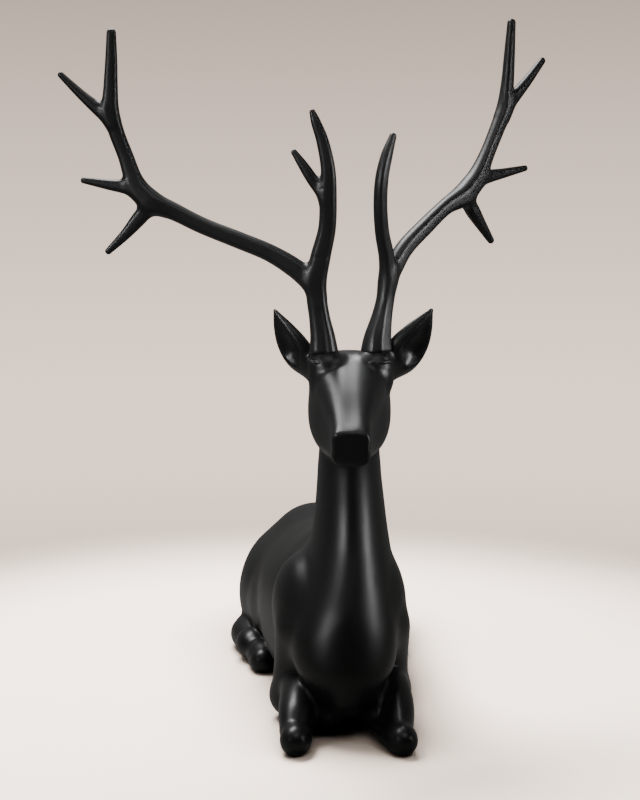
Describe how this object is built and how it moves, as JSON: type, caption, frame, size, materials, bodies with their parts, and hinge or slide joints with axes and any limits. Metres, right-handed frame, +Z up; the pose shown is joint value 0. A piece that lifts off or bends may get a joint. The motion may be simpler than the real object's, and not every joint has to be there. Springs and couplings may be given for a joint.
{
  "type": "cast iron stag statue",
  "caption": "Near life-size stag lying with folded legs and raised head, satin black iron, with two separate branching antlers in sockets.",
  "frame": {"origin": "middle of the whole statue's bounding box, on the ground under the animal", "axes": "+Z up, -Y the way the stag faces, +X the stag's left side"},
  "size_m": [1.0016, 1.0726, 1.3991],
  "materials": {
    "iron": "satin black",
    "antler_iron": "satin black"
  },
  "bodies": {
    "root": {"body": "iron", "antler_right": "antler_iron", "antler_left": "antler_iron"}
  },
  "joints": []
}
